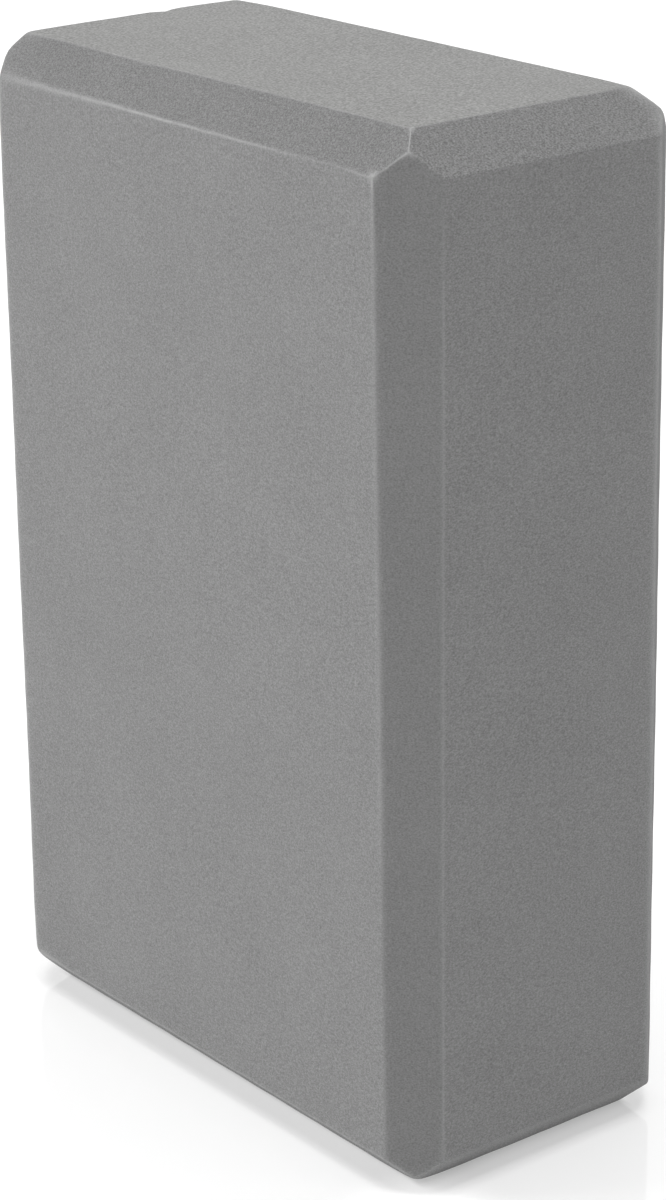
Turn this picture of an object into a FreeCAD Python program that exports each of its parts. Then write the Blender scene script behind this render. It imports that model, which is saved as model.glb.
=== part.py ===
"""Foam yoga block: one piece of closed-cell foam, cut to a brick and bevelled on all twelve edges.

The block stands on one end, the highest of its three positions in use. The origin is the centre of
that end, +Z runs up the block's length, X across the broad faces and Y through the thickness.
All sizes are in millimetres.
"""

import FreeCAD
import Part
import Sketcher
import os

# Driving sizes: the cell's alias, its value and what it is on the block.
SIZES = (
    ("block_length", 228.0, "from end to end"),
    ("block_width", 150.0, "across a broad face"),
    ("block_thickness", 76.0, "from broad face to broad face"),
    ("bevel_setback", 9.0, "cut back from each edge, alike on both faces, so every bevel is at 45 degrees"),
    ("arris_radius", 1.0, "softening where a bevel meets a face or another bevel"),
)

# A sketch's way of naming the ends of a line, and its own origin.
LINE_START = 1
LINE_END = 2
SKETCH_ORIGIN = (-1, 1)

MM3_PER_LITRE = 1e6


def make_sheet(doc):
    """The spreadsheet that holds the driving sizes, one to a row."""
    sheet = doc.addObject("Spreadsheet::Sheet", "Sizes")
    for row, (alias, value, meaning) in enumerate(SIZES, start=1):
        sheet.set(f"A{row}", alias)
        sheet.set(f"B{row}", str(value))
        sheet.set(f"C{row}", meaning)
        sheet.setAlias(f"B{row}", alias)
    doc.recompute()
    return sheet


def origin_plane(body, role):
    """One of the body's own origin planes, found by its role."""
    return next(plane for plane in body.Origin.OriginFeatures if plane.Role == role)


def draw_centred_rectangle(sketch, width, height):
    """Four lines about the sketch's origin. Width and height are expressions for the two sizes."""
    corners = [FreeCAD.Vector(x, y, 0) for x, y in ((-1, -1), (1, -1), (1, 1), (-1, 1))]
    next_corners = corners[1:] + corners[:1]
    lines = [sketch.addGeometry(Part.LineSegment(*ends)) for ends in zip(corners, next_corners)]
    bottom, right, top, left = lines
    for line, next_line in zip(lines, lines[1:] + lines[:1]):
        sketch.addConstraint(Sketcher.Constraint("Coincident", line, LINE_END, next_line, LINE_START))
    for line in (bottom, top):
        sketch.addConstraint(Sketcher.Constraint("Horizontal", line))
    for line in (right, left):
        sketch.addConstraint(Sketcher.Constraint("Vertical", line))
    opposite_corners = (bottom, LINE_START, top, LINE_START)
    sketch.addConstraint(Sketcher.Constraint("Symmetric", *opposite_corners, *SKETCH_ORIGIN))
    for name, direction, line, size in (
        ("width", "DistanceX", bottom, width),
        ("height", "DistanceY", right, height),
    ):
        start_value = 2.0
        index = sketch.addConstraint(
            Sketcher.Constraint(direction, line, LINE_START, line, LINE_END, start_value)
        )
        sketch.renameConstraint(index, name)
        sketch.setExpression(f"Constraints.{name}", size)


def make_foam_block(doc):
    """The block: its end outline is padded to the full length, and then every edge is trimmed."""
    body = doc.addObject("PartDesign::Body", "foam_block")

    end_outline = body.newObject("Sketcher::SketchObject", "end_outline")
    end_outline.AttachmentSupport = (origin_plane(body, "XY_Plane"), [""])
    end_outline.MapMode = "FlatFace"
    draw_centred_rectangle(end_outline, "Sizes.block_width", "Sizes.block_thickness")

    brick = body.newObject("PartDesign::Pad", "brick")
    brick.Profile = end_outline
    brick.setExpression("Length", "Sizes.block_length")
    doc.recompute()

    # Three bevels meet at each corner in one point, with no extra facet between them.
    bevels = body.newObject("PartDesign::Chamfer", "bevels")
    bevels.Base = (brick, ["Edge1"])
    bevels.UseAllEdges = True
    bevels.setExpression("Size", "Sizes.bevel_setback")
    doc.recompute()

    # The trimmed foam isn't knife sharp: each arris that the bevels leave is slightly round.
    arrises = body.newObject("PartDesign::Fillet", "arrises")
    arrises.Base = (bevels, ["Edge1"])
    arrises.UseAllEdges = True
    arrises.setExpression("Radius", "Sizes.arris_radius")
    body.Tip = arrises
    return body


def check(doc, pieces):
    """Stops if a feature failed or a piece has no valid shape."""
    doc.recompute()
    for item in doc.Objects:
        if {"Invalid", "Error"} & set(item.State):
            raise RuntimeError(f"{item.Label} failed: {item.State}")
    for piece in pieces:
        if piece.Shape.isNull() or not piece.Shape.isValid():
            raise RuntimeError(f"{piece.Label} has no valid shape")


def write_steps(pieces, folder="parts"):
    """Writes one STEP file for each piece, named for its label."""
    os.makedirs(folder, exist_ok=True)
    for piece in pieces:
        piece.Shape.exportStep(os.path.join(folder, f"{piece.Label}.step"))
        box = piece.Shape.optimalBoundingBox()
        extents = f"{box.XLength:.2f} x {box.YLength:.2f} x {box.ZLength:.2f} mm"
        litres = piece.Shape.Volume / MM3_PER_LITRE
        print(f"{piece.Label}: {extents}, {litres:.3f} litres, {len(piece.Shape.Faces)} faces")


def main():
    doc = FreeCAD.newDocument("yoga_block")
    make_sheet(doc)
    pieces = [make_foam_block(doc)]
    check(doc, pieces)
    write_steps(pieces)


main()
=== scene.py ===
# %% [markdown]
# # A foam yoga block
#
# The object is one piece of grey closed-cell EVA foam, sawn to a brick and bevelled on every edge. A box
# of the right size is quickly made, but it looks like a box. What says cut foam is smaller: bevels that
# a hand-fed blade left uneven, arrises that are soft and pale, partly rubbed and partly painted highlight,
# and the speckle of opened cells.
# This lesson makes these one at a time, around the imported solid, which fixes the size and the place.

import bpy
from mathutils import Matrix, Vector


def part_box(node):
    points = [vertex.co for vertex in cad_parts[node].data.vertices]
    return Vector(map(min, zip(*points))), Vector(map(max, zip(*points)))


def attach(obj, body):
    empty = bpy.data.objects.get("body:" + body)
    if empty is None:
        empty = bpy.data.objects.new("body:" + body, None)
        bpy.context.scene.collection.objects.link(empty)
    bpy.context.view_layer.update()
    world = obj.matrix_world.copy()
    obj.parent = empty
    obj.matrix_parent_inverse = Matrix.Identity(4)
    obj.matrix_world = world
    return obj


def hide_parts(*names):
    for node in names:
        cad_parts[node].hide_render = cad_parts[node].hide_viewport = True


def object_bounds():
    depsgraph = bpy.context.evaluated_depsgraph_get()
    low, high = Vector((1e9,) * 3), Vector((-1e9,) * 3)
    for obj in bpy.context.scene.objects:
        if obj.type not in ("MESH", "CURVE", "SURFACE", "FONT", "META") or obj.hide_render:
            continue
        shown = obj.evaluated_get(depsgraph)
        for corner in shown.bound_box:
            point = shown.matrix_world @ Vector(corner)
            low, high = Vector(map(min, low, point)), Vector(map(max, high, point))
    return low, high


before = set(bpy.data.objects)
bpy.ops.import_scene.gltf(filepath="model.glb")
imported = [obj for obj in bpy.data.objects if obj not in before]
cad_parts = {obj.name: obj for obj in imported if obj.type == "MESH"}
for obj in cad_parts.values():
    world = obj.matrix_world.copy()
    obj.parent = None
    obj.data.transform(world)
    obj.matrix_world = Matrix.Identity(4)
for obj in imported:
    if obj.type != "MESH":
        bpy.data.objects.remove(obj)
cad_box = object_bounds()

# Blender's sizes are in metres here, and those of this lesson in millimetres.
MM = 0.001
print("solid, in mm:", [round(side / MM, 2) for side in cad_box[1] - cad_box[0]])

# %% [markdown]
# ## The planes of the block
#
# The real block is sawn square and then passed along a tilted blade, once for each edge. That leaves 18
# planes: six faces and twelve bevels. A Bevel modifier on a cube would cut every edge alike. Hand-fed
# cuts differ by a millimetre or two from edge to edge, and along an edge they twist and wander a little.
# So each bevel gets a plane for each end of its edge, from how far it reaches over the two faces beside
# it, and a few slow waves and local bends are added to that.

# %% The six faces
import math

import bpy
import numpy as np
from mathutils import Matrix, Vector

low, high = (np.array(corner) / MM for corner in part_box("foam_block"))
middle = (low + high) / 2
half = (high - low) / 2

# The axis that each face looks along, and the way it looks.
FACES = {
    "left": (0, -1),
    "right": (0, 1),
    "front": (1, -1),
    "back": (1, 1),
    "bottom": (2, -1),
    "top": (2, 1),
}
# A plane is a direction and a distance from the block's middle, one for each end of its edge. A face has
# the same one twice.
planes = {}
for face, (axis, sign) in FACES.items():
    plane = (sign * np.eye(3)[axis], half[axis])
    planes[face] = (plane, plane)
print("half sizes, in mm:", half.round(2))

# %% Setbacks of the bevels
USUAL_SETBACK = 9.0

# How far a bevel reaches over a face, in mm, at the two ends of its edge: first where the coordinate along
# the edge is lowest and then where it is highest. The key is the face and the neighbour that the bevel
# leads to. Edges that the photograph hides have the usual setback.
SETBACK = {
    ("top", "front"): (8.45, 8.6),
    ("front", "top"): (8.3, 8.35),
    ("top", "right"): (9.9, 11.2),
    ("right", "top"): (8.2, 8.0),
    ("top", "left"): (8.15, 7.3),
    ("left", "top"): (10.1, 9.1),
    ("top", "back"): (9.15, 8.8),
    ("back", "top"): (8.8, 8.75),
    ("front", "right"): (10.15, 11.45),
    ("right", "front"): (7.65, 8.2),
    ("front", "left"): (8.3, 8.7),
    ("left", "front"): (9.0, 10.4),
    ("right", "back"): (9.3, 10.7),
    ("back", "right"): (9.6, 10.15),
    ("bottom", "front"): (9.05, 8.4),
    ("front", "bottom"): (8.85, 8.1),
    ("bottom", "right"): (9.7, 9.3),
    ("right", "bottom"): (9.35, 9.45),
    ("back", "bottom"): (9.85, 9.95),
}
print("setbacks, in mm:", np.min(list(SETBACK.values())), "to", np.max(list(SETBACK.values())))

# %% The twelve bevels
def bevel(face, neighbour):
    """The name of the bevel between two faces, whichever is named first."""
    return "_".join(sorted((face, neighbour)))


def bevel_planes(face, neighbour):
    """The bevel's plane at the lower and the higher end of its edge, as directions and distances."""
    arrises = np.zeros((2, 2, 3))
    for arris, (here, there) in zip(arrises, ((face, neighbour), (neighbour, face))):
        cuts = SETBACK.get((here, there), (USUAL_SETBACK, USUAL_SETBACK))
        (axis, sign), (over, over_sign) = FACES[here], FACES[there]
        for point, end_sign, cut in zip(arris, (-1, 1), cuts):
            point[:] = end_sign * half
            point[axis] = sign * half[axis]
            point[over] = over_sign * (half[over] - cut)
    along = (arrises[:, 1] - arrises[:, 0]).sum(axis=0)
    both_ends = []
    for first, second in zip(*arrises):
        direction = np.cross(along, second - first)
        direction *= np.sign(direction @ planes[face][0][0]) / np.linalg.norm(direction)
        both_ends.append((direction, (first + second) @ direction / 2))
    return tuple(both_ends)


edges = [
    (face, neighbour)
    for face in FACES
    for neighbour in FACES
    if face < neighbour and FACES[face][0] != FACES[neighbour][0]
]
for face, neighbour in edges:
    planes[bevel(face, neighbour)] = bevel_planes(face, neighbour)
print(len(edges), "bevels:", ", ".join(bevel(*edge) for edge in edges))

# %% All planes in lists
names = list(planes)
# Both lists have the planes of the lower end first and then those of the higher end.
normals = np.array([[planes[name][end][0] for name in names] for end in (0, 1)])
distances = np.array([[planes[name][end][1] for name in names] for end in (0, 1)])


def run_axis(name):
    """The axis that a bevel runs along, or the one that a face looks along."""
    axes = [FACES[face][0] for face in name.split("_")]
    return 3 - sum(axes) if len(axes) == 2 else axes[0]


runs = [run_axis(name) for name in names]
print(len(names), "planes in all")

# %% Waviness of the cuts
# Three waves run through each cut, at these lengths and heights in mm. A face lacks the shortest.
WAVELENGTHS = np.array([74.0, 33.0, 12.0])
BEVEL_WAVES = np.array([0.04, 0.035, 0.03])
FACE_WAVES = np.array([0.03, 0.02, 0.0])
WAVE_SEED = 11

draws = np.random.default_rng(WAVE_SEED)
wave_ways = draws.normal(size=(len(names), len(WAVELENGTHS), 3))
wave_ways /= np.linalg.norm(wave_ways, axis=2, keepdims=True)
wave_starts = draws.uniform(0, 2 * np.pi, size=(len(names), len(WAVELENGTHS)))
wave_heights = np.array([FACE_WAVES if name in FACES else BEVEL_WAVES for name in names])
# The block stands on its lower end, which stays flat.
wave_heights[names.index("bottom")] = 0.0
print("waves up to", wave_heights.sum(axis=1).max().round(3), "mm high")

# %% Places where a cut wanders
# The plane, a middle and a reach along x, y and z, and how far the cut stands out there, in mm.
WANDERS = (
    ("front_top", (-22, -29, 114), (9, 300, 6), 0.25),
    ("front_top", (-75, -33, 110), (10, 300, 300), -0.25),
    ("front_top", (64, -38, 105), (8, 6, 6), -0.2),
    ("front_top", (70, -33.5, 110), (5, 5, 5), 0.45),
    ("front_right", (70, -33.5, 110), (5, 5, 5), -0.35),
    ("front_left", (-66, -38, 106), (15, 15, 12), -0.3),
)


def nearness(points, centre, reach):
    """How near each point is to a place: 1 there, fading out over the reach."""
    return np.exp(-(((points - centre) / reach) ** 2).sum(axis=1))


def waviness(points):
    """How far each plane stands out at each point, in mm."""
    turns = np.einsum("pk,nwk->pnw", points, wave_ways) / WAVELENGTHS
    standing_out = (wave_heights * np.sin(2 * np.pi * turns + wave_starts)).sum(axis=2)
    for name, centre, reach, height in WANDERS:
        standing_out[:, names.index(name)] += height * nearness(points, centre, reach)
    return standing_out


print(len(WANDERS), "places where a cut wanders")

# %% [markdown]
# ## A mesh of patches
#
# A remeshed or boolean solid would have stray triangles just where the eye goes, along the arrises. Each
# plane gets a neat patch of four-sided faces instead. A face's patch spans four arrises. A bevel's patch
# also ends in two hips, the short ridges where it meets other bevels, so its rows run from one bent end
# line to the other. Neighbours share the points on their common edge and weld exactly. The patches'
# corners are where the uneven planes meet, and the rows crowd together near each arris, because that is
# where the surface turns.

# %% Lines between corners
# Distances of the rows from an arris, and how far apart they are further in, in mm.
FINE_STEPS = np.array([0.0, 0.12, 0.28, 0.5, 0.8, 1.2, 1.8])
WIDE_STEP = 2.2


def spacing(length):
    """Shares of a length, mirrored about its middle: fine near both ends and wide between."""
    count = math.ceil((length / 2 - FINE_STEPS[-1]) / WIDE_STEP)
    wide = np.linspace(FINE_STEPS[-1], length / 2, count + 1)[1:]
    first_half = np.concatenate([FINE_STEPS, wide])
    return np.concatenate([first_half, length - first_half[-2::-1]]) / length


def meet(*three):
    """The point where three planes meet, each at the end of its edge that belongs to this corner."""
    signs = dict(FACES[face] for name in three for face in name.split("_"))
    ends = [int(signs[run_axis(name)] > 0) for name in three]
    chosen = [names.index(name) for name in three]
    flat = np.linalg.solve(normals[ends, chosen], distances[ends, chosen])
    lifts = waviness(flat[None])[0, chosen]
    return np.linalg.solve(normals[ends, chosen], distances[ends, chosen] + lifts)


def line(corners, shares):
    """Points at those shares of a line through two or three corners."""
    knots = np.linspace(0, 1, len(corners))
    return np.stack([np.interp(shares, knots, values) for values in np.transpose(corners)], axis=1)


along_axis = [spacing(2 * (side - USUAL_SETBACK)) for side in half]
across_bevel = spacing(USUAL_SETBACK * math.sqrt(2))
print("rows along x, y, z and across a bevel:", *map(len, along_axis), len(across_bevel))

# %% A patch for each plane
patches = []


def add_patch(name, first, last, shares):
    """Rows of points from one end line to the other, turned so that the patch looks outwards."""
    grid = first[:, None] + (last - first)[:, None] * shares[None, :, None]
    looks = np.cross(grid[1, 0] - grid[0, 0], grid[0, 1] - grid[0, 0])
    patches.append(grid if looks @ planes[name][0][0] > 0 else grid[:, ::-1])


def sides(axis):
    """The two faces across an axis."""
    return [face for face in FACES if FACES[face][0] == axis]


for face, (axis, _) in FACES.items():
    run, rise = (other for other in range(3) if other != axis)
    end_lines = []
    for end in sides(run):
        corners = [meet(face, bevel(face, end), bevel(face, side)) for side in sides(rise)]
        end_lines.append(line(corners, along_axis[rise]))
    add_patch(face, *end_lines, along_axis[run])

for face, neighbour in edges:
    name = bevel(face, neighbour)
    run = run_axis(name)
    end_lines = []
    for end in sides(run):
        near, far = bevel(face, end), bevel(neighbour, end)
        hips = [meet(face, name, near), meet(name, near, far), meet(neighbour, name, far)]
        end_lines.append(line(hips, across_bevel))
    add_patch(name, *end_lines, along_axis[run])
print(len(patches), "patches")

# %% Patches welded into one skin
# Points that agree to this many digits of a mm become one.
WELD_DIGITS = 5

all_points = np.concatenate([grid.reshape(-1, 3) for grid in patches])
sharp, welded = np.unique(all_points.round(WELD_DIGITS), axis=0, return_inverse=True)
welded = welded.ravel()
quads = []
start = 0
for grid in patches:
    rows, columns = grid.shape[:2]
    index = welded[start:start + rows * columns].reshape(rows, columns)
    start += rows * columns
    corners = (index[:-1, :-1], index[1:, :-1], index[1:, 1:], index[:-1, 1:])
    quads.append(np.stack(corners, axis=-1).reshape(-1, 4))
quads = np.concatenate(quads)
print(len(sharp), "points,", len(quads), "four-sided faces")

# %% [markdown]
# ## Soft edges
#
# Foam gives under the blade and wears in use, so no arris is quite sharp. A Bevel modifier could round
# them, but with one width, and the finish wouldn't know where the edges went. One formula does better.
# The block is where a point is inside every plane, so its surface is where the largest of 18 heights is
# zero. A smooth largest value rounds every arris, more or less from place to place, and the share that
# each plane has in a point then says where on the block it is.

# %% Radius of the arrises
ARRIS_RADIUS = 1.0
# Where the arrises are sharper or rounder than that: a middle, a reach along x, y and z, and a radius.
ZONES = (
    ((0, 0, 114), (300, 300, 5), 0.5),
    ((65, -38, 0), (8, 8, 200), 2.0),
    ((-66, -38, 0), (9, 9, 200), 4.0),
    ((75, -30, 0), (6, 6, 200), 1.4),
    ((75, 0, -105), (6, 300, 6), 2.5),
    ((-66, -38, 106), (34, 11, 11), 2.8),
    ((-72, -35, 110), (9, 9, 9), 6.5),
    ((75, 28, 0), (6, 6, 200), 3.5),
    ((70, 34, 110), (9, 9, 9), 6.0),
    ((-68, -35, -108), (8, 8, 8), 6.0),
    ((67, -31, -113), (6, 6, 6), 7.0),
    ((63, -38, 106), (6, 6, 9), 0.7),
    ((-67, 29, 114), (7, 7, 7), 4.0),
    ((-50, -29, 114), (15, 5, 3), 0.45),
    ((67.5, -31.5, 112.5), (6, 6, 6), 0.4),
)


def arris_radius(points):
    """The radius of an arris near each point."""
    radius = np.full(len(points), ARRIS_RADIUS)
    for centre, reach, zone_radius in ZONES:
        radius += nearness(points, centre, reach) * (zone_radius - radius)
    return radius


radii = arris_radius(sharp)
print("arris radius, in mm:", radii.min().round(2), "to", radii.max().round(2))

# %% Rounded arrises
# Where two planes meet at 45 degrees, a smooth largest value looks like a fillet whose radius is this
# number divided by its sharpness. Each round brings the points nearer to that surface.
ROUNDNESS = 9.0
ROUNDS = 4


def soften(points):
    """The points moved onto the rounded, uneven block, and each plane's share in each of them."""
    for _ in range(ROUNDS):
        way_along = np.clip(points / (half - USUAL_SETBACK) / 2 + 0.5, 0, 1)[:, runs]
        local_normals = normals[0] + way_along[:, :, None] * (normals[1] - normals[0])
        local_distances = distances[0] + way_along * (distances[1] - distances[0])
        heights = np.einsum("pk,pnk->pn", points, local_normals) - local_distances - waviness(points)
        sharpness = (ROUNDNESS / arris_radius(points))[:, None]
        highest = heights.max(axis=1, keepdims=True)
        weights = np.exp(sharpness * (heights - highest))
        total = weights.sum(axis=1, keepdims=True)
        shares = weights / total
        outwards = np.einsum("pn,pnk->pk", shares, local_normals)
        outwards /= np.linalg.norm(outwards, axis=1, keepdims=True)
        points = points - (highest + np.log(total) / sharpness) * outwards
    return points, shares


soft, shares = soften(sharp)
print("largest move in softening, in mm:", np.linalg.norm(soft - sharp, axis=1).max().round(3))

# %% A nick in the far upper edge
NICK_AT = (-66.6, 7.9, 114.0)
NICK_REACH = 1.9
NICK_DEPTH = 0.45

in_nick = nearness(soft, NICK_AT, NICK_REACH)
nick_way = (planes["top"][0][0] + planes["left"][0][0]) / math.sqrt(2)
soft = soft - NICK_DEPTH * in_nick[:, None] * nick_way
print("points in the nick:", int((in_nick > 0.1).sum()))

# %% The block
foam_mesh = bpy.data.meshes.new("foam_block")
foam_mesh.from_pydata(((soft + middle) * MM).tolist(), [], quads.tolist())
foam_mesh.shade_smooth()
foam_mesh.validate()
foam = bpy.data.objects.new("cut_foam_block", foam_mesh)
bpy.context.scene.collection.objects.link(foam)
print("block, in mm:", np.ptp(soft, axis=0).round(2))

# %% [markdown]
# ## Where the finish changes, with painted shade and highlight
#
# Sawn faces and ends are pale, trimmed bevels are darker, and the bevels around the two ends are also the
# grainiest. The darker grey of the bevels along the width and the grey of the bevels at the lower end are
# painted shade. Along the arrises a pale line is partly rubbed foam and partly painted highlight,
# strongest at the near upper corner. The near upper corner is scuffed, and the far upper right corner
# carries a painted highlight all round. Masks painted by hand would not follow the uneven edges. The
# planes' shares
# do: a plane's own share is its mask, and where two planes share a point equally there is an arris.

# %% The six kinds of cut, two of them with painted shade
# The grey of each cut, the contrast of its speckle, and whether its cells look coarse. The darker grey of
# the bevels along the width and the grey of the bevels at the lower end are painted shade.
CUTS = {
    "sawn face": ("#929292", 0.26, 0.0),
    "sawn end": ("#949493", 0.31, 1.0),
    "bevel along the length": ("#8a8a8a", 0.22, 0.0),
    # Darker than the other bevels: painted shade.
    "bevel along the width": ("#818181", 0.36, 0.0),
    "bevel along the thickness": ("#8b8b8b", 0.37, 0.0),
    # Painted shade under the block.
    "bevel at the lower end": ("#868686", 0.36, 0.0),
}


def linear(hex_colour):
    """An sRGB hex colour as a linear colour with alpha, by the curve of the sRGB standard."""
    channels = [int(hex_colour[start:start + 2], 16) / 255 for start in (1, 3, 5)]
    return tuple(c / 12.92 if c <= 0.04045 else ((c + 0.055) / 1.055) ** 2.4 for c in channels) + (1.0,)


def kind_of_cut(name):
    """Sawn for a face or an end. For a bevel, the lower end or the way that it runs."""
    if name in FACES:
        return "sawn end" if run_axis(name) == 2 else "sawn face"
    if "bottom" in name:
        return "bevel at the lower end"
    return "bevel along the " + ("width", "thickness", "length")[run_axis(name)]


cuts = [CUTS[kind_of_cut(name)] for name in names]
# This grey carries the painted shade of the bevels along the width and at the lower end.
cut_colour = shares @ np.array([linear(grey) for grey, _, _ in cuts])
speckle_contrast = shares @ np.array([contrast for _, contrast, _ in cuts])
coarse = shares @ np.array([coarseness for _, _, coarseness in cuts])
for kind in CUTS:
    print(kind, "on", sum(kind_of_cut(name) == kind for name in names), "planes")

# %% Mask of pale arrises: rubbed foam and painted highlight
USUAL_RUB_AND_HIGHLIGHT = 0.12

# Two planes, the axis along their arris, and how pale the arris is there, from rubbing and painted
# highlight: pairs of a place along that axis, in mm from the block's middle, and an amount.
RUB_AND_HIGHLIGHT = (
    ("front", "front_top", 0, (
        (-75, 0.15), (-60, 0.25), (-45, 0.36), (-8, 0.5), (10, 0.42),
        (28, 0.32), (42, 0.16), (52, 0.16), (66, 0.45),
    )),
    ("front", "front_right", 2, (
        (-106, 0.1), (-60, 0.07), (-20, 0.2), (60, 0.2), (90, 0.2), (101, 0.3), (106, 0.75),
    )),
    ("front_top", "right_top", 2, ((109, 0.85), (114, 0.6))),
    ("front_right", "front_top", 2, ((105, 0.25), (110, 0.5))),
    ("front_right", "right_top", 2, ((105, 0.0), (114, 0.0))),
    ("front_right", "right", 2, ((-106, 0.23), (80, 0.24), (95, 0.16), (106, 0.05))),
    ("front_top", "top", 0, ((-66, 0.2), (66, 0.17))),
    ("right_top", "top", 1, ((-30, 0.1), (0, 0.1), (30, 0.02))),
    ("right", "right_top", 1, ((-30, 0.0), (30, 0.0))),
    ("bottom_front", "front", 0, ((-66, 0.4), (66, 0.35))),
    ("bottom_right", "right", 1, ((-30, 0.0), (30, 0.0))),
    # The pale lines from here on, along the outline and at the lower tip, are painted highlight.
    ("front", "front_left", 2, ((-106, 0.42), (106, 0.36))),
    ("back", "back_right", 2, ((-106, 0.3), (106, 0.3))),
    ("back_right", "right", 2, ((-106, 0.32), (106, 0.32))),
    ("back_right", "right_top", 2, ((105, 0.4), (114, 0.45))),
    ("back_top", "right_top", 2, ((105, 0.55), (114, 0.55))),
    ("back_top", "top", 0, ((40, 0.12), (62, 0.5))),
    ("bottom_front", "front_right", 2, ((-114, 0.3), (-105, 0.35))),
)
listed = {frozenset(row[:2]) for row in RUB_AND_HIGHLIGHT}
share_of = {name: shares[:, index] for index, name in enumerate(names)}


def on_arris(first, second):
    """1 where two planes have half a point each, and less beside that."""
    return 4 * share_of[first] * share_of[second]


rub = np.zeros(len(soft))
for first, second, axis, steps in RUB_AND_HIGHLIGHT:
    rub = np.maximum(rub, on_arris(first, second) * np.interp(soft[:, axis], *np.transpose(steps)))
for position, first in enumerate(names):
    for second in names[position + 1:]:
        if frozenset((first, second)) not in listed:
            rub = np.maximum(rub, USUAL_RUB_AND_HIGHLIGHT * on_arris(first, second))
print("points on rubbed arrises:", int((rub > USUAL_RUB_AND_HIGHLIGHT).sum()))

# %% Scuffed corners and a painted highlight
# The middle and reach of each pale spot in mm, and its amount. The first three are scuffs by the near
# upper corner, and the rest paint a highlight along the far upper right corner.
SCUFFS_AND_HIGHLIGHTS = (
    ((63.6, -38.0, 105.7), 1.2, 0.5),
    ((65.2, -29.4, 114.0), 0.8, 0.5),
    ((69.3, -33.5, 110.5), 0.6, 0.5),
    # From here on, a painted highlight along the far upper right corner.
    ((65.2, 30.4, 113.5), 2.8, 0.55),
    ((67.5, 32.0, 112.2), 2.8, 0.45),
    ((70.0, 33.6, 110.6), 3.0, 0.5),
    ((72.0, 32.0, 109.2), 2.8, 0.5),
    ((74.0, 29.5, 107.8), 2.4, 0.4),
)
for centre, reach, amount in SCUFFS_AND_HIGHLIGHTS:
    rub = np.maximum(rub, amount * nearness(soft, centre, reach))
print("points rubbed or scuffed:", int((rub > USUAL_RUB_AND_HIGHLIGHT).sum()))

# %% Written on the mesh
for name, kind, field, values in (
    ("cut_colour", "FLOAT_COLOR", "color", cut_colour),
    ("speckle", "FLOAT", "value", speckle_contrast),
    ("coarse", "FLOAT", "value", coarse),
    ("rub", "FLOAT", "value", rub),
):
    attribute = foam_mesh.attributes.new(name, kind, "POINT")
    attribute.data.foreach_set(field, values.astype(np.float32).ravel())
    print(name, "runs from", values.min().round(3), "to", values.max().round(3))

# %% [markdown]
# ## Cut EVA foam
#
# Closed-cell EVA is a mass of bubbles a fifth to half a millimetre wide. Slicing opens the outermost, so
# the surface is matt, evenly grey and faintly speckled: light cell walls, dark open cells. A plain grey
# with a rough shader would look like painted board. Here the speckle is a colour pattern with a matching
# bump, at the size of the cells, over a slow mottle from uneven foaming.

# %% A helper for materials
def add_node(tree, kind, inputs=None, output=0, **settings):
    """Adds a node, sets it up, sets or links its inputs by name or number, and gives one output."""
    node = tree.nodes.new(kind)
    for name, value in settings.items():
        setattr(node, name, value)
    for key, value in (inputs or {}).items():
        if isinstance(value, bpy.types.NodeSocket):
            tree.links.new(value, node.inputs[key])
        else:
            node.inputs[key].default_value = value
    return node.outputs[output]


def per_metre(millimetres):
    """A pattern's scale, in repeats to the metre."""
    return 1 / (millimetres * MM)


print("a pattern that repeats every mm has a scale of", per_metre(1.0))

# %% Closed-cell EVA foam, sawn and trimmed
# Opened cells scatter light all ways: a rough surface with hardly any shine.
EVA_IOR = 1.49
EVA_ROUGHNESS = 0.9
EVA_SHINE = 0.12

foam_material = bpy.data.materials.new("closed_cell_eva_foam_sawn")
foam_material.use_nodes = True
foam_mesh.materials.append(foam_material)
foam_tree = foam_material.node_tree
eva = foam_tree.nodes["Principled BSDF"]
eva.inputs["IOR"].default_value = EVA_IOR
eva.inputs["Roughness"].default_value = EVA_ROUGHNESS
eva.inputs["Specular IOR Level"].default_value = EVA_SHINE
on_block = add_node(foam_tree, "ShaderNodeTexCoord", output="Object")
print(foam_material.name, "has a roughness of", EVA_ROUGHNESS)

# %% Opened cells
# Cells are 0.2 to 0.5 mm wide. They are drawn at the coarse end of that, so that the render shows them.
CELL_MM = (0.36, 0.46, 0.28)
END_CELL_MM = (0.5, 0.5, 0.49)

cell_patterns = []
for widths in (CELL_MM, END_CELL_MM):
    scale = [per_metre(width) for width in widths]
    in_cells = add_node(foam_tree, "ShaderNodeVectorMath", {0: on_block, 1: scale}, operation="MULTIPLY")
    noise_inputs = {"Vector": in_cells, "Scale": 1.0, "Detail": 1.0, "Roughness": 0.5}
    cell_patterns.append(add_node(foam_tree, "ShaderNodeTexNoise", noise_inputs, "Fac"))
coarse_share = add_node(foam_tree, "ShaderNodeAttribute", output="Fac", attribute_name="coarse")
# A Mix node has sockets for every type. For numbers, 0 is the share and 2 and 3 are what it mixes.
cell_mix = {0: coarse_share, 2: cell_patterns[0], 3: cell_patterns[1]}
cells = add_node(foam_tree, "ShaderNodeMix", cell_mix, data_type="FLOAT")
print("cells up to", max(END_CELL_MM), "mm wide")

# %% Speckle and mottle
MOTTLE_MM = 22.0
MOTTLE_CONTRAST = 0.03
# Noise swings about its middle, seldom by more than this.
NOISE_MIDDLE = 0.5
NOISE_SWING = 0.25

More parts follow.
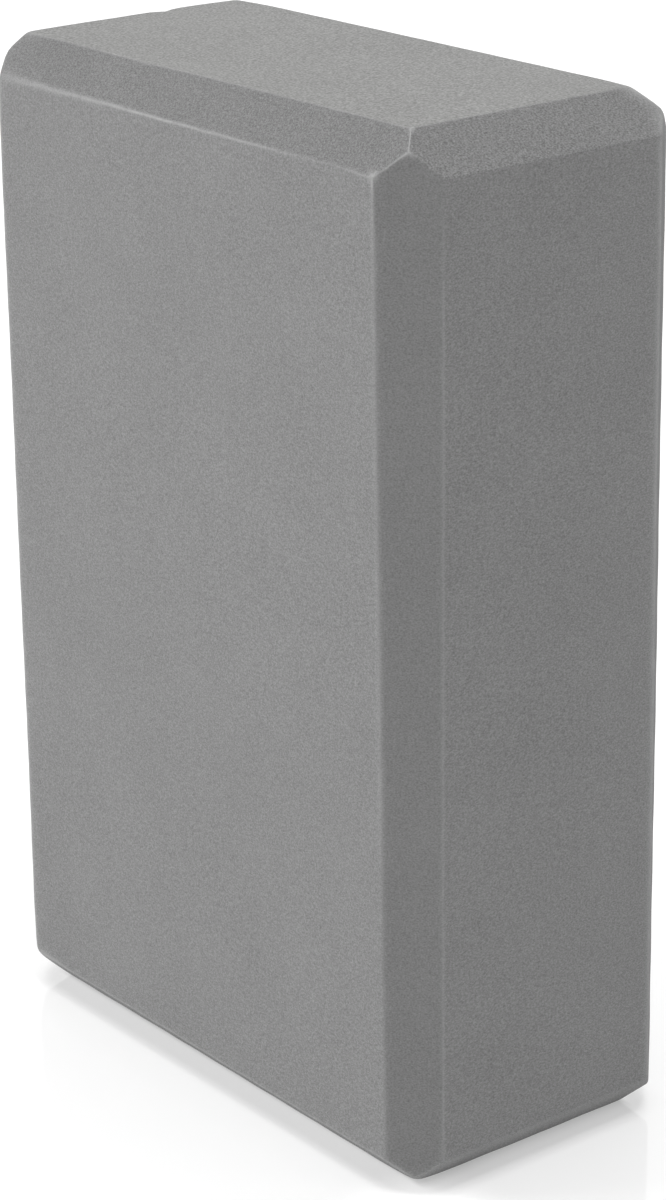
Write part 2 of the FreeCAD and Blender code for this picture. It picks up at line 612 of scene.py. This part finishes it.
mottle_inputs = {"Vector": on_block, "Scale": per_metre(MOTTLE_MM), "Detail": 2.0, "Roughness": 0.5}
mottle = add_node(foam_tree, "ShaderNodeTexNoise", mottle_inputs, "Fac")
contrast = add_node(foam_tree, "ShaderNodeAttribute", output="Fac", attribute_name="speckle")
gain = add_node(foam_tree, "ShaderNodeMath", {0: contrast, 1: 1 / NOISE_SWING}, operation="MULTIPLY")
swings = []
for noise, amount in ((cells, gain), (mottle, MOTTLE_CONTRAST / NOISE_SWING)):
    swing = add_node(foam_tree, "ShaderNodeMath", {0: noise, 1: NOISE_MIDDLE}, operation="SUBTRACT")
    swings.append(add_node(foam_tree, "ShaderNodeMath", {0: swing, 1: amount}, operation="MULTIPLY"))
both_swings = add_node(foam_tree, "ShaderNodeMath", dict(enumerate(swings)), operation="ADD")
lightness = add_node(foam_tree, "ShaderNodeMath", {0: both_swings, 1: 1.0}, operation="ADD")
# The grey of the cuts, with the painted shade of the bevels along the width and at the lower end.
cut_grey_with_painted_shade = add_node(foam_tree, "ShaderNodeAttribute", output="Color", attribute_name="cut_colour")
speckled = add_node(
    foam_tree, "ShaderNodeVectorMath", {0: cut_grey_with_painted_shade, "Scale": lightness}, operation="SCALE"
)
print("mottle repeats every", MOTTLE_MM, "mm")

# %% Pale arrises of rub and painted highlight, and cell relief
PALE_RUB_AND_HIGHLIGHT_GREY = "#c6c6c6"
RUB_AND_HIGHLIGHT_BREAK_MM = 3.0
CELL_RELIEF_MM = 0.08

# Rubbing catches some spots more than others, so the pale line of rub and painted highlight is broken up.
rub_and_highlight_inputs = {"Vector": on_block, "Scale": per_metre(RUB_AND_HIGHLIGHT_BREAK_MM), "Detail": 3.0}
rub_and_highlight_noise = add_node(foam_tree, "ShaderNodeTexNoise", rub_and_highlight_inputs, "Fac")
rub_and_highlight_gain = add_node(foam_tree, "ShaderNodeMath", {0: rub_and_highlight_noise, 1: NOISE_MIDDLE}, operation="ADD")
rubbed_and_highlit = add_node(foam_tree, "ShaderNodeAttribute", output="Fac", attribute_name="rub")
broken = add_node(foam_tree, "ShaderNodeMath", {0: rubbed_and_highlit, 1: rub_and_highlight_gain}, operation="MULTIPLY")
rub_and_highlight_share = add_node(foam_tree, "ShaderNodeMath", {0: broken, 1: 1.0}, operation="MINIMUM")
# For colours, a Mix node's sockets 6 and 7 are what it mixes, and its output is number 2.
# The pale grey mixed in along the arrises is partly rubbed foam and partly painted highlight.
colour_mix = {0: rub_and_highlight_share, 6: speckled, 7: linear(PALE_RUB_AND_HIGHLIGHT_GREY)}
foam_colour = add_node(foam_tree, "ShaderNodeMix", colour_mix, 2, data_type="RGBA")
foam_tree.links.new(foam_colour, eva.inputs["Base Color"])

bump_inputs = {"Height": cells, "Strength": 1.0, "Distance": CELL_RELIEF_MM * MM}
relief = add_node(foam_tree, "ShaderNodeBump", bump_inputs)
foam_tree.links.new(relief, eva.inputs["Normal"])
print(foam_material.name, "has", len(foam_tree.nodes), "nodes")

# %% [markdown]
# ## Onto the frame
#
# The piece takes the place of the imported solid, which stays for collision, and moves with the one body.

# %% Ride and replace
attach(foam, "root")
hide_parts("foam_block")
print(foam.name, "stands for foam_block")

# %% [markdown]
# ## Studio
#
# The block stands on polished white acrylic, lit through from below, which is why its shadow is faint.
# Lamps strong enough to make the floor white would wash the block out. So the floor gives a part of its
# white itself, and the white around it shows only to the camera, in reflections and through glass. The
# floor keeps the block's shadow and its reflection. A painted shadow beside the block and painted light by
# the near corner shape that shadow.

# %% Floor
FLOOR_SIZE = 8.0
FLOOR_DROP_MM = 0.1

half_floor = FLOOR_SIZE / 2
floor_corners = [(x * half_floor, y * half_floor, 0) for x, y in ((-1, -1), (1, -1), (1, 1), (-1, 1))]
floor_mesh = bpy.data.meshes.new("acrylic_floor")
floor_mesh.from_pydata(floor_corners, [], [(0, 1, 2, 3)])
floor = bpy.data.objects.new("acrylic_floor", floor_mesh)
floor.location.z = cad_box[0].z - FLOOR_DROP_MM * MM
bpy.context.scene.collection.objects.link(floor)
print("floor is", FLOOR_SIZE, "m wide")

# %% Polished white acrylic
# The smooth surface mirrors faintly, more at a low angle, and the white body under it scatters light.
FLOOR_WHITE = "#c6c6c6"
ACRYLIC_IOR = 1.49
ACRYLIC_ROUGHNESS = 0.06
PURE_WHITE = "#ffffff"

floor_material = bpy.data.materials.new("polished_white_acrylic")
floor_material.use_nodes = True
floor_mesh.materials.append(floor_material)
floor_tree = floor_material.node_tree
acrylic = floor_tree.nodes["Principled BSDF"]
acrylic.inputs["Base Color"].default_value = linear(FLOOR_WHITE)
acrylic.inputs["Roughness"].default_value = ACRYLIC_ROUGHNESS
acrylic.inputs["IOR"].default_value = ACRYLIC_IOR
acrylic.inputs["Emission Color"].default_value = linear(PURE_WHITE)
on_floor = add_node(floor_tree, "ShaderNodeTexCoord", output="Object")
print(floor_material.name, "has a roughness of", ACRYLIC_ROUGHNESS)

# %% Glow, with a painted shadow beside the block
# The glow dims beside the block's footprint, a painted shadow.
FLOOR_GLOW = 0.50
FOOTPRINT_HALF_MM = (65.5, 29.2, 0.0)
PAINTED_SHADOW_REACH_MM = (5.5, 1.4, 1.0)
PAINTED_SHADOW_DEPTH = 0.155


def in_metres(millimetres):
    """Sizes that are given in mm, in metres."""
    return [size * MM for size in millimetres]


# How far a place is past the footprint's edge, none under the block, in reaches of the painted shadow.
NONE_MM = (0.0, 0.0, 0.0)
past_edge = add_node(floor_tree, "ShaderNodeVectorMath", {0: on_floor}, operation="ABSOLUTE")
for operation, lengths in (
    ("SUBTRACT", FOOTPRINT_HALF_MM),
    ("MAXIMUM", NONE_MM),
    ("DIVIDE", PAINTED_SHADOW_REACH_MM),
):
    step_inputs = {0: past_edge, 1: in_metres(lengths)}
    past_edge = add_node(floor_tree, "ShaderNodeVectorMath", step_inputs, operation=operation)
painted_shadow_share = add_node(
    floor_tree, "ShaderNodeTexGradient", {"Vector": past_edge}, "Fac", gradient_type="QUADRATIC_SPHERE"
)
painted_shadow_inputs = {0: painted_shadow_share, 1: -PAINTED_SHADOW_DEPTH, 2: FLOOR_GLOW}
glow_with_painted_shadow = add_node(floor_tree, "ShaderNodeMath", painted_shadow_inputs, operation="MULTIPLY_ADD")
print("the floor glows with a strength of", round(FLOOR_GLOW - PAINTED_SHADOW_DEPTH, 3), "to", FLOOR_GLOW)

# %% Painted light that thins the shadow by the near corner
# This lift is painted light. It shows to the camera, in reflections and through glass, as the white around
# the floor does.
PAINTED_LIGHT_AT_MM = (76.0, -37.0, 0.0)
PAINTED_LIGHT_REACH_MM = 22.0
PAINTED_LIGHT_GLOW = 0.55


def seen_by(tree):
    """1 for a ray from the camera, off a shiny surface or through glass, and 0 for any other."""
    rays = add_node(tree, "ShaderNodeLightPath").node.outputs
    seen = rays["Is Camera Ray"]
    for kind in ("Is Glossy Ray", "Is Transmission Ray"):
        seen = add_node(tree, "ShaderNodeMath", {0: seen, 1: rays[kind]}, operation="MAXIMUM")
    return seen


from_spot = {0: on_floor, 1: in_metres(PAINTED_LIGHT_AT_MM)}
spot_place = add_node(floor_tree, "ShaderNodeVectorMath", from_spot, operation="SUBTRACT")
spot_scale = {0: spot_place, "Scale": per_metre(PAINTED_LIGHT_REACH_MM)}
spot_place = add_node(floor_tree, "ShaderNodeVectorMath", spot_scale, operation="SCALE")
painted_light_spot = add_node(
    floor_tree, "ShaderNodeTexGradient", {"Vector": spot_place}, "Fac", gradient_type="QUADRATIC_SPHERE"
)
spot_rays = {0: painted_light_spot, 1: seen_by(floor_tree)}
seen_painted_light = add_node(floor_tree, "ShaderNodeMath", spot_rays, operation="MULTIPLY")
painted_light_inputs = {0: seen_painted_light, 1: PAINTED_LIGHT_GLOW, 2: glow_with_painted_shadow}
glow = add_node(floor_tree, "ShaderNodeMath", painted_light_inputs, operation="MULTIPLY_ADD")
floor_tree.links.new(glow, acrylic.inputs["Emission Strength"])
print(floor_material.name, "has", len(floor_tree.nodes), "nodes")

# %% Surroundings
world = bpy.data.worlds.new("white_studio")
world.use_nodes = True
bpy.context.scene.world = world
world_tree = world.node_tree
background = world_tree.nodes["Background"]
background.inputs["Color"].default_value = linear(PURE_WHITE)
world_tree.links.new(seen_by(world_tree), background.inputs["Strength"])
print(world.name, "has", len(world_tree.nodes), "nodes")

# %% [markdown]
# ## Lamps
#
# A studio lights such a product with soft boxes, lamps behind a wide white cloth. A picture of a studio
# wrapped around the scene could stand in for them, but one side of the block couldn't be made lighter
# without the others. Area lamps can be set one by one: a wide one at the ceiling for the whole block, a
# small one overhead, whose shadow has a clearer edge, one at the left for the broad face, and one low
# behind for the far edges.

# %% Lamps
# Name, direction from the block, distance and width in metres, and power in watts.
LAMPS = (
    ("ceiling_softbox", (0.0, 0.0, 1.0), 6.0, 5.0, 352.0),
    ("overhead_softbox", (0.36, -0.12, 0.93), 6.0, 0.8, 42.0),
    ("left_softbox", (-0.6, -0.75, 0.42), 2.0, 0.8, 17.5),
    ("rim_softbox", (0.2, 0.97, 0.06), 6.0, 2.4, 60.0),
)
block_middle = Vector(middle * MM)
for name, way, distance, width, power in LAMPS:
    lamp_data = bpy.data.lights.new(name, "AREA")
    lamp_data.energy = power
    lamp_data.size = width
    lamp = bpy.data.objects.new(name, lamp_data)
    towards_lamp = Vector(way).normalized()
    lamp.location = block_middle + towards_lamp * distance
    lamp.rotation_euler = towards_lamp.to_track_quat("Z", "Y").to_euler()
    lamp.visible_camera = False
    bpy.context.scene.collection.objects.link(lamp)
    print(name, "at", [round(value, 2) for value in lamp.location])

# %% [markdown]
# ## Camera
#
# The view comes from a fit of the block's edges to the photograph: a long lens close to eye height for a
# product on a table, turned a hair anticlockwise.

# %% Camera
CAMERA_MM = (575.7, -451.8, 372.8)
AZIMUTH, ELEVATION, ROLL = (math.radians(angle) for angle in (51.80, 19.95, -0.765))
LENS_MM = 105.53
SENSOR_MM = 36.0

backwards = Vector((
    math.sin(AZIMUTH) * math.cos(ELEVATION),
    -math.cos(AZIMUTH) * math.cos(ELEVATION),
    math.sin(ELEVATION),
))
level = Vector((math.cos(AZIMUTH), math.sin(AZIMUTH), 0))
upright = backwards.cross(level)
sideways = level * math.cos(ROLL) + upright * math.sin(ROLL)
upwards = upright * math.cos(ROLL) - level * math.sin(ROLL)

camera_data = bpy.data.cameras.new("camera")
camera_data.lens = LENS_MM
camera_data.sensor_width = SENSOR_MM
camera = bpy.data.objects.new("camera", camera_data)
turn = Matrix((sideways, upwards, backwards)).transposed().to_4x4()
camera.matrix_world = Matrix.Translation(Vector(CAMERA_MM) * MM) @ turn
bpy.context.scene.collection.objects.link(camera)
bpy.context.scene.camera = camera
bpy.context.scene.view_settings.view_transform = "Standard"
print("camera at", CAMERA_MM, "mm")
